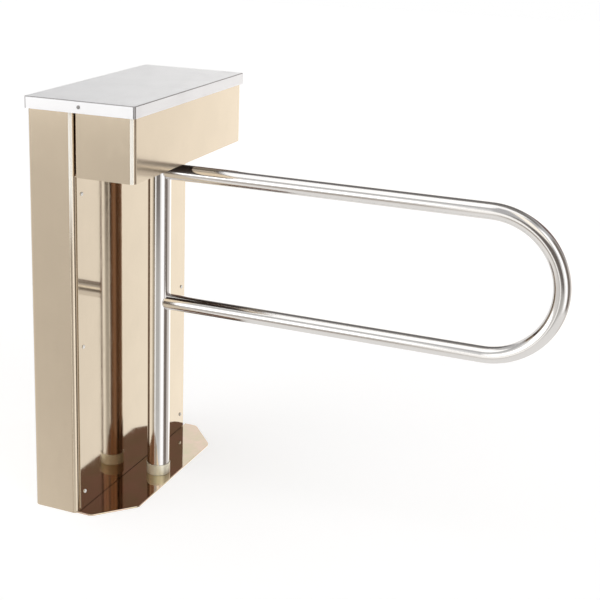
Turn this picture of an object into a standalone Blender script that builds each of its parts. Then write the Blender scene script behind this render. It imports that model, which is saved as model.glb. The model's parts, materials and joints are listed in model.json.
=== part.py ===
"""Single-arm swing turnstile with a visitor counter, as separate pieces in metres.

The origin is on the floor, on the gate's turning axis. +Z is up the axis, +X is the way the
closed arm points across the passage, and the cabinet's long side runs along Y.
"""

import math

import bmesh
import bpy
from mathutils import Matrix, Vector

# --- driving dimensions -------------------------------------------------------------------

GAP = 0.0003            # between two pieces that touch
SHEET = 0.0015          # stainless sheet of the covers
BEND = 0.005            # outer radius of the lid's corners
COVER_BEND = 0.012      # and of the upright folds of the column and the head

TOTAL_HEIGHT = 1.012
PLATE_T = 0.004         # floor plate

COLUMN_LEFT = -0.190
COLUMN_RIGHT = -0.0705
CABINET_FRONT = -0.287
CABINET_BACK = 0.284
FLANGE = 0.045          # the column's folded edges that carry the access panel

PANEL_T = 0.002
PANEL_FRONT = -0.274
PANEL_BACK = 0.280
PANEL_TOP = 0.834
PANEL_SCREW_Z = (0.047, 0.420, 0.791)
PANEL_SCREW_INSET = 0.020

HEAD_LEFT = -0.0675
HEAD_RIGHT = 0.0865
HEAD_BOTTOM = 0.836
HEAD_RETURN = 0.018     # the head's folded edge beside the column

LID_OVERHANG = 0.004
LID_RIM = 0.028
WALL_TOP = TOTAL_HEIGHT - SHEET - 0.0005

PLATE_RIGHT = 0.047
PLATE_FRONT = -0.283
PLATE_BACK = 0.298
PLATE_CUT_X = 0.082     # the chamfered corners
PLATE_CUT_Y = 0.092
PLATE_CORNER = 0.020
PLATE_INSIDE_BACK = 0.2785

POST_R = 0.0285
POST_WALL = 0.002
POST_BOTTOM = 0.0065
POST_TOP = 0.8395
ARM_R = 0.020
ARM_WALL = 0.0015
ARM_UPPER_Z = 0.804
ARM_LOWER_Z = 0.471
ARM_REACH = 0.982       # to the middle of the tube at the end of the bend

COLLAR_R = 0.0303
COLLAR_BORE = 0.0291
COLLAR_TOP = 0.032
PIN_R = 0.008
BUSH_R = 0.012

MECH_Z = 0.8418         # underside of the mechanism plate
MECH_T = 0.006
MECH_TOP = MECH_Z + MECH_T
MECH_LEFT = -0.178
MECH_RIGHT = 0.078
MECH_HALF = 0.205
SPINDLE_R = 0.0125
BORE_R = SPINDLE_R + GAP

GEAR_MODULE = 0.0015
SECTOR_TEETH = 72       # of a full wheel
PINION_TEETH = 18
BACKLASH = 0.00025
ADDENDUM = 0.85
DEDENDUM = 1.20
PRESSURE = math.radians(20)
DAMPER_ANGLE = math.radians(-60)
GEAR_CENTRES = GEAR_MODULE * (SECTOR_TEETH + PINION_TEETH) / 2 + 0.0001

LEVER_ANGLE = math.radians(135)
GATE_SWING = math.radians(90)
LEVER_HALF = 0.008
LEVER_REACH = 0.066
BUFFER_RADIUS = 0.052   # how far out the lever meets its buffers

# Heights on the spindle, from the lever up to the nut.
LEVER_Z = (0.887, 0.895)
SECTOR_Z = (0.899, 0.905)
PINION_Z = (0.898, 0.906)
FLAG_Z = (0.9108, 0.9123)
LOCK_DISC_Z = (0.918, 0.926)
NUT_Z = (0.9265, 0.9365)
THREAD_Z = 0.9262       # where the spindle steps down to its thread
SPINDLE_TOP = 0.9440
THREAD_R = 0.0100
FLAG_R = 0.046
LOCK_DISC_R = 0.034
UPRIGHT_X = -0.156      # middle of the column's inner frame
UPRIGHT_Y = 0.190
UPRIGHT_HALF = 0.020

LOCK_X = (COLUMN_LEFT + HEAD_RIGHT) / 2
LOCK_Z = TOTAL_HEIGHT - LID_RIM / 2


# --- helpers ------------------------------------------------------------------------------

def clear_scene():
    for obj in list(bpy.data.objects):
        bpy.data.objects.remove(obj, do_unlink=True)


def make_material(name, colour, roughness, metallic):
    mat = bpy.data.materials.new(name)
    mat.use_nodes = True
    shader = mat.node_tree.nodes["Principled BSDF"]
    shader.inputs["Base Color"].default_value = (*colour, 1)
    shader.inputs["Roughness"].default_value = roughness
    shader.inputs["Metallic"].default_value = metallic
    mat.diffuse_color = (*colour, 1)
    return mat


def add_object(name, bm, mat, parent=None, at=(0, 0, 0), turn=0.0):
    """Makes an object of a closed bmesh, shaded smooth with sharp edges kept."""
    bmesh.ops.recalc_face_normals(bm, faces=bm.faces)
    mesh = bpy.data.meshes.new(name)
    bm.to_mesh(mesh)
    bm.free()
    mesh.shade_smooth()
    mesh.set_sharp_from_angle(angle=math.radians(35))
    mesh.materials.append(mat)
    obj = bpy.data.objects.new(name, mesh)
    bpy.context.scene.collection.objects.link(obj)
    obj.location = at
    obj.rotation_euler = (0, 0, turn)
    obj.parent = parent
    return obj


def add_axis(name, at):
    """An empty on a joint's axis, which the moving pieces hang from."""
    axis = bpy.data.objects.new(name, None)
    bpy.context.scene.collection.objects.link(axis)
    axis.location = at
    return axis


def boolean(obj, other, operation):
    """Joins or cuts with a helper object, which is left out of the model."""
    other.hide_render = True
    other.display_type = "WIRE"
    modifier = obj.modifiers.new(operation.lower(), "BOOLEAN")
    modifier.operation = operation
    modifier.solver = "EXACT"
    modifier.object = other


def cut(obj, bm, at=(0, 0, 0), turn=0.0):
    cutter = add_object(obj.name + "_cutter", bm, STEEL, obj.parent, at, turn)
    boolean(obj, cutter, "DIFFERENCE")


def join(obj, bm, at=(0, 0, 0), turn=0.0):
    extra = add_object(obj.name + "_extra", bm, STEEL, obj.parent, at, turn)
    boolean(obj, extra, "UNION")


# How two coordinates in a plane, and a third along its normal, lie in space.
PLANES = {
    "XY": lambda a, b, c: (a, b, c),
    "XZ": lambda a, b, c: (a, c, b),
    "YZ": lambda a, b, c: (c, a, b),
}


def block(x0, x1, y0, y1, z0, z1):
    return prism([(x0, y0), (x1, y0), (x1, y1), (x0, y1)], z0, z1)


def prism(outline, low, high, plane="XY"):
    """Extrudes a closed outline. The plane's third axis is the way it is extruded."""
    place = PLANES[plane]
    bm = bmesh.new()
    bottom = [bm.verts.new(place(a, b, low)) for a, b in outline]
    top = [bm.verts.new(place(a, b, high)) for a, b in outline]
    bm.faces.new(bottom)
    bm.faces.new(top)
    for i in range(len(outline)):
        j = (i + 1) % len(outline)
        bm.faces.new((bottom[i], bottom[j], top[j], top[i]))
    return bm


def circle(radius, sides, centre=(0, 0), phase=0.0):
    return arc(radius, phase, phase + 2 * math.pi * (1 - 1 / sides), sides - 1, centre)


def arc(radius, start, end, steps, centre=(0, 0)):
    angles = [start + (end - start) * i / steps for i in range(steps + 1)]
    return [
        (centre[0] + radius * math.cos(a), centre[1] + radius * math.sin(a))
        for a in angles
    ]


def revolve(profile, sides):
    """Turns a closed (radius, height) profile round Z. A point of radius 0 becomes a pole."""
    bm = bmesh.new()
    rings = []
    for radius, height in profile:
        if radius == 0:
            rings.append([bm.verts.new((0, 0, height))] * sides)
        else:
            rings.append([bm.verts.new((x, y, height)) for x, y in circle(radius, sides)])
    for i, ring in enumerate(rings):
        after = rings[(i + 1) % len(rings)]
        for j in range(sides):
            k = (j + 1) % sides
            corners = dict.fromkeys((ring[j], ring[k], after[k], after[j]))
            if len(corners) > 2:
                bm.faces.new(list(corners))
    return bm


def ring(inner, outer, low, high, sides, chamfer=0.0):
    """A disc with a bore. Its outer edges may be chamfered."""
    rim = [(outer, low), (outer, high)]
    if chamfer:
        rim = [
            (outer - chamfer, low), (outer, low + chamfer),
            (outer, high - chamfer), (outer - chamfer, high),
        ]
    return revolve([(inner, low), *rim, (inner, high)], sides)


def rod(radius, low, high, sides, chamfer=0.0):
    return ring(0, radius, low, high, sides, chamfer)


def turned_over(bm, matrix):
    bmesh.ops.transform(bm, matrix=matrix, verts=bm.verts)
    return bm


ALONG_X = Matrix.Rotation(math.radians(90), 4, "Y")     # a piece built up Z lies along +X
ALONG_Y = Matrix.Rotation(math.radians(-90), 4, "X")    # and along +Y


def fillet(points, radius, steps, closed=False):
    """Rounds the corners of a polyline with arcs."""
    count = len(points)
    rounded = [] if closed else [points[0]]
    for i in range(0 if closed else 1, count if closed else count - 1):
        here = Vector(points[i])
        back = (Vector(points[i - 1]) - here).normalized()
        on = (Vector(points[(i + 1) % count]) - here).normalized()
        half = back.angle(on) / 2
        centre = here + (back + on).normalized() * radius / math.sin(half)
        first = here + back * radius / math.tan(half) - centre
        last = here + on * radius / math.tan(half) - centre
        sweep = math.atan2(first.cross(last), first.dot(last))
        start = math.atan2(first.y, first.x)
        size = first.length
        rounded += arc(size, start, start + sweep, steps, centre)
    return rounded if closed else rounded + [points[-1]]


def sheet_outline(points, bend=COVER_BEND, sheet=SHEET, steps=6):
    """The outline of sheet folded along a polyline, with the sheet on the line's left."""
    inner = []
    last = len(points) - 1
    for i, point in enumerate(points):
        here = Vector(point)
        sides = []
        if i > 0:
            sides.append((here - Vector(points[i - 1])).normalized())
        if i < last:
            sides.append((Vector(points[i + 1]) - here).normalized())
        lefts = [Vector((-side.y, side.x)) for side in sides]
        inner.append(tuple(here + sum(lefts, Vector((0, 0))) * sheet))
    outer_line = fillet(points, bend, steps)
    inner_line = fillet(inner, bend - sheet, steps)
    return outer_line + inner_line[::-1]


def sweep(path, radius, sides, bore=0.0):
    """A round bar along a path, or a tube with open ends where it has a bore."""
    bm = bmesh.new()
    points = [Vector(p) for p in path]
    last = len(points) - 1
    normal = None
    layers = []
    for i, point in enumerate(points):
        ahead = (points[min(i + 1, last)] - points[max(i - 1, 0)]).normalized()
        if normal is None:
            normal = ahead.orthogonal().normalized()
        normal = (normal - ahead * normal.dot(ahead)).normalized()
        across = ahead.cross(normal)
        layers.append([
            [
                bm.verts.new(point + (normal * x + across * y))
                for x, y in circle(size, sides)
            ]
            for size in (radius, bore)
            if size
        ])
    walls = len(layers[0])
    for wall in range(walls):
        for first, second in zip(layers, layers[1:]):
            for j in range(sides):
                k = (j + 1) % sides
                bm.faces.new((first[wall][j], first[wall][k], second[wall][k], second[wall][j]))
    for end in (layers[0], layers[-1]):
        if walls == 1:
            bm.faces.new(end[0])
            continue
        for j in range(sides):
            k = (j + 1) % sides
            bm.faces.new((end[0][j], end[0][k], end[1][k], end[1][j]))
    return bm


def tray(x0, x1, y0, y1, low, high, sheet=SHEET, corner=BEND, top_bend=0.002, steps=3):
    """A shallow cover with a folded rim, open below."""
    def loop(inset, height, radius):
        corners = [
            (x0 + inset, y0 + inset),
            (x1 - inset, y0 + inset),
            (x1 - inset, y1 - inset),
            (x0 + inset, y1 - inset),
        ]
        return [(x, y, height) for x, y in fillet(corners, radius, steps, closed=True)]

    def side(inset, top, bend):
        made = [loop(inset, low, corner - inset)]
        for i in range(steps + 1):
            turn = math.pi / 2 * i / steps
            in_by = bend * (1 - math.cos(turn))
            height = top - bend * (1 - math.sin(turn))
            made.append(loop(inset + in_by, height, max(corner - inset - in_by, 0.0004)))
        return made

    bm = bmesh.new()
    outer = [[bm.verts.new(p) for p in line] for line in side(0, high, top_bend)]
    inner = [
        [bm.verts.new(p) for p in line]
        for line in side(sheet, high - sheet, top_bend / 4)
    ]
    for stack in (outer, inner):
        for first, second in zip(stack, stack[1:]):
            for j in range(len(first)):
                k = (j + 1) % len(first)
                bm.faces.new((first[j], first[k], second[k], second[j]))
        bm.faces.new(stack[-1])
    for j in range(len(outer[0])):
        k = (j + 1) % len(outer[0])
        bm.faces.new((outer[0][j], outer[0][k], inner[0][k], inner[0][j]))
    return bm


def square_tube(half, wall, low, high, plane="XY", centre=(0, 0)):
    """An open-ended square tube."""
    def corners(size):
        return [
            (centre[0] + size * x, centre[1] + size * y)
            for x, y in ((-1, -1), (1, -1), (1, 1), (-1, 1))
        ]

    place = PLANES[plane]
    bm = bmesh.new()
    loops = [
        [bm.verts.new(place(a, b, level)) for a, b in corners(size)]
        for size, level in ((half, low), (half, high), (half - wall, high), (half - wall, low))
    ]
    for i, first in enumerate(loops):
        second = loops[(i + 1) % 4]
        for j in range(4):
            k = (j + 1) % 4
            bm.faces.new((first[j], first[k], second[k], second[j]))
    return bm


# --- gear teeth ---------------------------------------------------------------------------

def flank(radius, teeth):
    """Half the angle of a tooth at a radius, on an involute flank."""
    pitch = GEAR_MODULE * teeth / 2
    base = pitch * math.cos(PRESSURE)

    def involute(angle):
        return math.tan(angle) - angle

    thickness = math.pi * GEAR_MODULE / 2 - BACKLASH
    here = math.acos(min(1.0, base / max(radius, base)))
    return thickness / 2 / pitch + involute(PRESSURE) - involute(here)


def tooth(teeth, middle):
    """The outline of one tooth, from its leading root to its trailing root."""
    pitch = GEAR_MODULE * teeth / 2
    root = pitch - DEDENDUM * GEAR_MODULE
    tip = pitch + ADDENDUM * GEAR_MODULE
    points = []
    for radius, side in ((root, -1), (pitch, -1), (tip, -1), (tip, 1), (pitch, 1), (root, 1)):
        angle = middle + side * flank(radius, teeth)
        points.append((radius * math.cos(angle), radius * math.sin(angle)))
    return points


def sector_outline():
    """Teeth over the stretch that passes the pinion as the gate swings, on a hub."""
    pitch_angle = 2 * math.pi / SECTOR_TEETH
    middle = DAMPER_ANGLE - GATE_SWING / 2
    count = 24
    points = []
    for i in range(count):
        points += tooth(SECTOR_TEETH, middle + (i - (count - 1) / 2) * pitch_angle)
    edge = middle + count / 2 * pitch_angle
    around = 2 * math.pi - count * pitch_angle
    points += arc(0.018, edge + 0.25, edge + around - 0.25, 8)
    return points


def pinion_outline():
    facing = DAMPER_ANGLE + math.pi
    points = []
    for i in range(PINION_TEETH):
        points += tooth(PINION_TEETH, facing + i * 2 * math.pi / PINION_TEETH)
    return points


# --- materials ----------------------------------------------------------------------------

clear_scene()

CHAMPAGNE = make_material("champagne_steel", (0.80, 0.70, 0.57), 0.22, 1.0)
MIRROR = make_material("champagne_mirror", (0.85, 0.74, 0.60), 0.05, 1.0)
LID = make_material("lid_steel", (0.74, 0.75, 0.77), 0.35, 1.0)
SATIN = make_material("satin_steel", (0.76, 0.74, 0.72), 0.25, 1.0)
STEEL = make_material("steel", (0.55, 0.55, 0.56), 0.40, 1.0)
DARK = make_material("dark_steel", (0.10, 0.07, 0.05), 0.50, 1.0)
BRASS = make_material("brass", (0.85, 0.66, 0.36), 0.25, 1.0)
BRONZE = make_material("bronze", (0.65, 0.45, 0.25), 0.35, 1.0)
RUBBER = make_material("rubber", (0.03, 0.03, 0.03), 0.80, 0.0)
NYLON = make_material("nylon", (0.80, 0.79, 0.74), 0.50, 0.0)
BLACK = make_material("black_plastic", (0.04, 0.04, 0.04), 0.45, 0.0)
BOARD = make_material("circuit_board", (0.05, 0.25, 0.10), 0.50, 0.0)


# --- floor plate --------------------------------------------------------------------------

ANCHORS = [(x, y) for x in (-0.150, -0.092) for y in (-0.245, 0.225)]
CABLE_HOLE = (-0.120, 0.0)


def build_floor_plate():
    column_inside = COLUMN_LEFT + SHEET + GAP
    beside_column = COLUMN_RIGHT + 0.0008
    corner_x = PLATE_RIGHT - PLATE_CUT_X
    visible = fillet(
        [
            (beside_column, PLATE_FRONT),
            (corner_x, PLATE_FRONT),
            (PLATE_RIGHT, PLATE_FRONT + PLATE_CUT_Y),
            (PLATE_RIGHT, PLATE_BACK - PLATE_CUT_Y),
            (corner_x, PLATE_BACK),
            (beside_column, PLATE_BACK),
        ],
        PLATE_CORNER,
        4,
    )
    clear = COVER_BEND + 0.002      # cuts the hidden corners clear of the column's folds
    hidden = [
        (beside_column, PLATE_INSIDE_BACK),
        (column_inside + clear, PLATE_INSIDE_BACK),
        (column_inside, PLATE_INSIDE_BACK - clear),
        (column_inside, PLATE_FRONT + clear),
        (column_inside + clear, PLATE_FRONT),
    ]
    plate = add_object("floor_plate", prism(visible + hidden, 0, PLATE_T), MIRROR)
    for x, y in ANCHORS:
        cut(plate, rod(0.0055, -0.01, 0.01, 14), (x, y, 0))
    cut(plate, rod(0.0125, -0.01, 0.01, 18), (*CABLE_HOLE, 0))


# --- column -------------------------------------------------------------------------------

def panel_screw_places():
    for z in PANEL_SCREW_Z:
        for y in (PANEL_FRONT + PANEL_SCREW_INSET, PANEL_BACK - PANEL_SCREW_INSET):
            yield y, z


def build_column():
    outline = sheet_outline([
        (COLUMN_RIGHT, CABINET_BACK - FLANGE),
        (COLUMN_RIGHT, CABINET_BACK),
        (COLUMN_LEFT, CABINET_BACK),
        (COLUMN_LEFT, CABINET_FRONT),
        (COLUMN_RIGHT, CABINET_FRONT),
        (COLUMN_RIGHT, CABINET_FRONT + FLANGE),
    ])
    shell = add_object("column_shell", prism(outline, GAP, WALL_TOP), CHAMPAGNE)
    over_plate = PLATE_T + 0.0006
    slot_left = COLUMN_RIGHT - 0.8 * COVER_BEND
    for start, end in ((PLATE_FRONT - 0.0012, -0.200), (0.200, PLATE_INSIDE_BACK + 0.0007)):
        cut(shell, block(slot_left, COLUMN_RIGHT + 0.008, start, end, -0.01, over_plate))

    back_face = COLUMN_RIGHT + GAP
    panel = add_object(
        "access_panel",
        block(back_face, back_face + PANEL_T, PANEL_FRONT, PANEL_BACK, 0.0050, PANEL_TOP),
        MIRROR,
    )
    for number, (y, z) in enumerate(panel_screw_places(), 1):
        for piece in (shell, panel):
            hole = turned_over(rod(0.0024, -0.010, 0.010, 12), ALONG_X)
            cut(piece, hole, (COLUMN_RIGHT, y, z))
        build_panel_screw(number, (back_face + PANEL_T, y, z))


def build_panel_screw(number, at):
    """A pan-head screw through the panel and the column's edge, with a hexagon socket."""
    shank = -(PANEL_T + SHEET + 0.008)
    head = 0.0034
    profile = [
        (0, shank), (0.0016, shank), (0.0020, shank + 0.0006), (0.0020, GAP), (0.0046, GAP),
        (0.0046, 0.0014), (0.0036, head), (0.0018, head), (0.0016, 0.0014), (0, 0.0014),
    ]
    bm = turned_over(revolve(profile, 12), ALONG_X)
    add_object(f"panel_screw_{number}", bm, SATIN, at=at)


def build_column_frame():
    bottom = PLATE_T + GAP
    for name, y in (("frame_upright_front", -UPRIGHT_Y), ("frame_upright_rear", UPRIGHT_Y)):
        bm = square_tube(UPRIGHT_HALF, 0.003, bottom, MECH_Z - GAP)
        add_object(name, bm, STEEL, at=(UPRIGHT_X, y, 0))
    reach = UPRIGHT_Y - UPRIGHT_HALF - GAP
    bar = square_tube(0.015, 0.002, -reach, reach, "XZ", (UPRIGHT_X, 0.700))
    add_object("frame_crossbar", bar, STEEL)


def build_anchors():
    """Floor anchors: the stud, washer and nut that show above the plate."""
    for number, (x, y) in enumerate(ANCHORS, 1):
        seat = PLATE_T + GAP
        anchor = add_object(
            f"anchor_bolt_{number}",
            revolve(
                [
                    (0, GAP), (0.005, GAP), (0.005, seat), (0.0100, seat),
                    (0.0100, seat + 0.002), (0.005, seat + 0.002),
                    (0.005, 0.0210), (0.0042, 0.0220), (0, 0.0220),
                ],
                12,
            ),
            STEEL,
            at=(x, y, 0),
        )
        join(anchor, prism(circle(0.0092, 6), seat + 0.001, seat + 0.010), (x, y, 0))


# --- head and lid -------------------------------------------------------------------------

def build_head():
    outline = sheet_outline([
        (HEAD_LEFT, CABINET_FRONT + HEAD_RETURN),
        (HEAD_LEFT, CABINET_FRONT),
        (HEAD_RIGHT, CABINET_FRONT),
        (HEAD_RIGHT, CABINET_BACK),
        (HEAD_LEFT, CABINET_BACK),
        (HEAD_LEFT, CABINET_BACK - HEAD_RETURN),
    ])
    shell = add_object("head_shell", prism(outline, HEAD_BOTTOM, WALL_TOP), CHAMPAGNE)
    front = CABINET_FRONT
    cut(shell, block(LOCK_X - 0.0045, LOCK_X + 0.0045, front - 0.01, front + 0.01, LOCK_Z - 0.004, LOCK_Z + 0.023))

    side = SHEET + GAP
    inner_left = HEAD_LEFT + 0.002
    low = HEAD_BOTTOM + SHEET
    cover = add_object(
        "head_bottom_cover",
        turned_over(
            tray(
                inner_left, HEAD_RIGHT - side,
                CABINET_FRONT + side, CABINET_BACK - side,
                -(low + 0.010), -low, corner=COVER_BEND, top_bend=0.0016,
            ),
            Matrix.Diagonal((1, 1, -1, 1)),
        ),
        DARK,
    )
    cut(cover, rod(POST_R + 0.003, 0.80, 0.88, 40))
    rim_end = COVER_BEND + 0.006
    open_side = block(
        inner_left - 0.007, inner_left + 0.011,
        CABINET_FRONT + rim_end, CABINET_BACK - rim_end, low + SHEET, 0.860,
    )
    cut(cover, open_side)

    for name, y, leg in (("head_rib_front", -0.204, 1), ("head_rib_rear", 0.204, -1)):
        thick = 0.003
        base = MECH_TOP + GAP
        angle = [
            (y, base), (y + leg * 0.030, base), (y + leg * 0.030, base + thick),
            (y + leg * thick, base + thick), (y + leg * thick, base + 0.030), (y, base + 0.030),
        ]
        add_object(name, prism(angle, MECH_LEFT + 0.004, HEAD_RIGHT - SHEET - 0.0006, "YZ"), STEEL)


def build_lid():
    lid = add_object(
        "lid",
        tray(
            COLUMN_LEFT - LID_OVERHANG, HEAD_RIGHT + LID_OVERHANG,
            CABINET_FRONT - LID_OVERHANG, CABINET_BACK + LID_OVERHANG,
            TOTAL_HEIGHT - LID_RIM, TOTAL_HEIGHT,
        ),
        LID,
    )
    rim = CABINET_FRONT - LID_OVERHANG
    cut(lid, turned_over(rod(0.0038, -0.01, 0.01, 20), ALONG_Y), (LOCK_X, rim, LOCK_Z))

    # The quarter-turn lock: a slotted barrel in the rim, and a tongue behind the head's wall.
    axis = add_axis("lid_lock_axis", (LOCK_X, rim, LOCK_Z))
    barrel = revolve(
        [
            (0, -0.0004), (0.0016, -0.0004), (0.0020, -0.0014), (0.0036, -0.0014),
            (0.0042, -0.0009), (0.0042, -GAP), (0.0035, -GAP), (0.0035, 0.0085), (0, 0.0085),
        ],
        16,
    )
    lock = add_object("lid_lock", turned_over(barrel, ALONG_Y), DARK, axis)
    tongue_y = 0.0062
    join(lock, block(-0.0025, 0.0130, tongue_y, tongue_y + 0.003, -0.003, 0.003))

    wall = CABINET_FRONT + SHEET + GAP
    hook = LOCK_Z + 0.003 + GAP
    keeper = [
        (LOCK_X + 0.016, LOCK_Z - 0.009), (LOCK_X + 0.023, LOCK_Z - 0.009),
        (LOCK_X + 0.023, hook + 0.0022), (LOCK_X + 0.004, hook + 0.0022),
        (LOCK_X + 0.004, hook), (LOCK_X + 0.016, hook),
    ]
    add_object("lid_lock_keeper", prism(keeper, wall, wall + 0.009, "XZ"), STEEL)


# --- gate ---------------------------------------------------------------------------------

def arm_path():
    bend = (ARM_UPPER_Z - ARM_LOWER_Z) / 2
    middle_z = (ARM_UPPER_Z + ARM_LOWER_Z) / 2
    bend_x = ARM_REACH - bend
    steps = 18
    turn = arc(bend, math.pi / 2, -math.pi / 2, steps, (bend_x, middle_z))
    line = [(0.004, ARM_UPPER_Z), *turn, (0.004, ARM_LOWER_Z)]
    return [(x, 0, z) for x, z in line]


def build_gate():
    inner = POST_R - POST_WALL
    tube = ring(inner, POST_R, POST_BOTTOM, POST_TOP, 40)
    add_object("post_tube", tube, SATIN, GATE)

    arm = add_object("arm_tube", sweep(arm_path(), ARM_R, 24, ARM_R - ARM_WALL), SATIN, GATE)
    cut(arm, rod(POST_R + GAP, 0.40, 0.88, 40))

    plug = inner - 0.0005
    foot = [
        (BUSH_R + GAP, 0.0105), (plug, 0.0105), (plug, 0.0620), (0, 0.0620),
        (0, 0.0545), (BUSH_R + GAP, 0.0545),
    ]
    add_object("post_foot_plug", revolve(foot, 24), STEEL, GATE)
    add_object("post_foot_bush", ring(PIN_R + 0.00015, BUSH_R, 0.0110, 0.0500, 20), BRONZE, GATE)
    add_object("post_head_plug", ring(BORE_R, plug, 0.8135, 0.8392, 20), STEEL, GATE)

    spindle = [
        (0, 0.8135), (0.0115, 0.8135), (SPINDLE_R, 0.8145), (SPINDLE_R, THREAD_Z),
        (THREAD_R, THREAD_Z), (THREAD_R, SPINDLE_TOP - 0.001),
        (THREAD_R - 0.001, SPINDLE_TOP), (0, SPINDLE_TOP),
    ]
    add_object("spindle", revolve(spindle, 20), STEEL, GATE)


def build_floor_bearing():
    collar = [
        (COLLAR_BORE, PLATE_T + GAP), (COLLAR_R, PLATE_T + GAP), (COLLAR_R, COLLAR_TOP - 0.0008),
        (COLLAR_R - 0.0004, COLLAR_TOP), (COLLAR_BORE, COLLAR_TOP),
    ]
    add_object("floor_collar", revolve(collar, 40), BRASS)
    pin = [
        (0, PLATE_T + GAP), (0.0150, PLATE_T + GAP), (0.0150, 0.0072), (PIN_R, 0.0072),
        (PIN_R, 0.0510), (PIN_R - 0.0015, 0.0535), (0, 0.0535),
    ]
    add_object("floor_pin", revolve(pin, 20), STEEL)


# --- mechanism in the head ----------------------------------------------------------------

BOLT_PLACES = [(0.034 * math.cos(math.radians(45 + 90 * i)),
                0.034 * math.sin(math.radians(45 + 90 * i))) for i in range(4)]
HOUSING_FLANGE = 0.008
FLANGE_TOP = MECH_TOP + GAP + HOUSING_FLANGE


def build_upper_bearing():
    plate = add_object(
        "mechanism_plate",
        block(MECH_LEFT, MECH_RIGHT, -MECH_HALF, MECH_HALF, MECH_Z, MECH_TOP),
        STEEL,
    )
    cut(plate, rod(0.0150, 0.80, 0.88, 20))

    base = MECH_TOP + GAP
    profile = [
        (0.0140, base), (0.0420, base), (0.0420, FLANGE_TOP), (0.0260, FLANGE_TOP),
        (0.0260, 0.8720), (0.0183, 0.8720), (0.0183, 0.8522), (0.0140, 0.8522),
    ]
    housing = add_object("bearing_housing", revolve(profile, 24), STEEL)
    for number, (x, y) in enumerate(BOLT_PLACES, 1):
        for piece in (plate, housing):
            cut(piece, rod(0.0028, 0.80, 0.88, 10), (x, y, 0))
        seat = FLANGE_TOP + GAP
        bolt = [
            (0, MECH_Z), (0.0025, MECH_Z), (0.0025, seat), (0.0042, seat),
            (0.0042, seat + 0.0045), (0.0038, seat + 0.0050), (0.0020, seat + 0.0050),
            (0.0020, seat + 0.0020), (0, seat + 0.0020),
        ]
        add_object(f"bearing_bolt_{number}", revolve(bolt, 10), STEEL, at=(x, y, 0))
    add_object("upper_bearing", ring(BORE_R, 0.0180, 0.8525, 0.8675, 20, 0.0006), SATIN)


def build_return_spring():
    """A torsion spring round the bearing's hub. Its lower leg rests on the anchor pin."""
    radius = 0.031
    wire = 0.0018
    start = math.radians(20)
    turns = 4 + (LEVER_ANGLE - start) / (2 * math.pi)
    low = 0.8652
    pitch = 0.0040
    leg = Vector((math.sin(start), -math.cos(start), 0))
    first = Vector((radius * math.cos(start), radius * math.sin(start), low))
    path = [first + leg * 0.016, first + leg * 0.006]
    steps = int(turns * 12)
    for i in range(steps + 1):
        angle = start + turns * 2 * math.pi * i / steps
        height = low + pitch * turns * i / steps
        path.append((radius * math.cos(angle), radius * math.sin(angle), height))
    add_object("return_spring", sweep(path, wire, 6), STEEL)

    out = Vector((math.cos(start), math.sin(start), 0))
    pin_at = first + leg * 0.010 + out * (wire + 0.003 + GAP)
    bm = rod(0.003, FLANGE_TOP + GAP, low + 0.006, 16, 0.0005)
    add_object("spring_anchor", bm, STEEL, at=(pin_at.x, pin_at.y, 0))


def build_stops():
    """The lever on the spindle, and a rubber buffer on its bracket at each end of the swing."""
    hub = 0.0165
    begin = math.asin(LEVER_HALF / hub)
    outline = arc(hub, begin, 2 * math.pi - begin, 14)
    outline += arc(LEVER_HALF, -math.pi / 2, math.pi / 2, 8, (LEVER_REACH - LEVER_HALF, 0))
    lever = add_object("stop_lever", prism(outline, *LEVER_Z), STEEL, GATE, turn=LEVER_ANGLE)
    join(lever, rod(hub, 0.8680, 0.8900, 20))
    cut(lever, rod(BORE_R, 0.85, 0.91, 20))

    height = sum(LEVER_Z) / 2
    length = 0.010
    for name, angle, side in (
        ("closed", LEVER_ANGLE, -1),
        ("open", LEVER_ANGLE + GATE_SWING, 1),
    ):
        along = Vector((math.cos(angle), math.sin(angle), 0))
        out = Vector((-math.sin(angle), math.cos(angle), 0)) * side
        face = along * BUFFER_RADIUS + out * (LEVER_HALF + 0.0004)
        turn = math.atan2(out.y, out.x)
        rubber = turned_over(rod(0.007, 0, length, 14, 0.001), ALONG_X)
        add_object(f"stop_buffer_{name}", rubber, RUBBER, at=(face.x, face.y, height), turn=turn)
        back = length + GAP
        base = MECH_TOP + GAP
        angle_iron = [
            (back, base), (back + 0.020, base), (back + 0.020, base + 0.004),
            (back + 0.004, base + 0.004), (back + 0.004, height + 0.0065), (back, height + 0.0065),
        ]
        bracket = prism(angle_iron, -0.009, 0.009, "XZ")
        add_object(f"buffer_bracket_{name}", bracket, STEEL, at=(face.x, face.y, 0), turn=turn)


def build_damper():
    sector = add_object("gear_sector", prism(sector_outline(), *SECTOR_Z), BRASS, GATE)
    join(sector, rod(0.0180, 0.8953, 0.9105, 20))
    cut(sector, rod(BORE_R, 0.85, 0.95, 20))

    centre = (GEAR_CENTRES * math.cos(DAMPER_ANGLE), GEAR_CENTRES * math.sin(DAMPER_ANGLE), 0)
    base = MECH_TOP + GAP
    body = [
        (0, base), (0.0180, base), (0.0180, 0.8880), (0.0165, 0.8895), (0.0090, 0.8895),
        (0.0090, 0.8930), (0.0046, 0.8930), (0.0046, 0.8900), (0, 0.8900),
    ]
    add_object("damper_body", revolve(body, 20), BLACK, at=centre)
    axis = add_axis("damper_axis", centre)
    pinion = add_object("damper_pinion", prism(pinion_outline(), *PINION_Z), NYLON, axis)
    join(pinion, rod(0.0042, 0.8903, 0.9085, 10))


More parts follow.
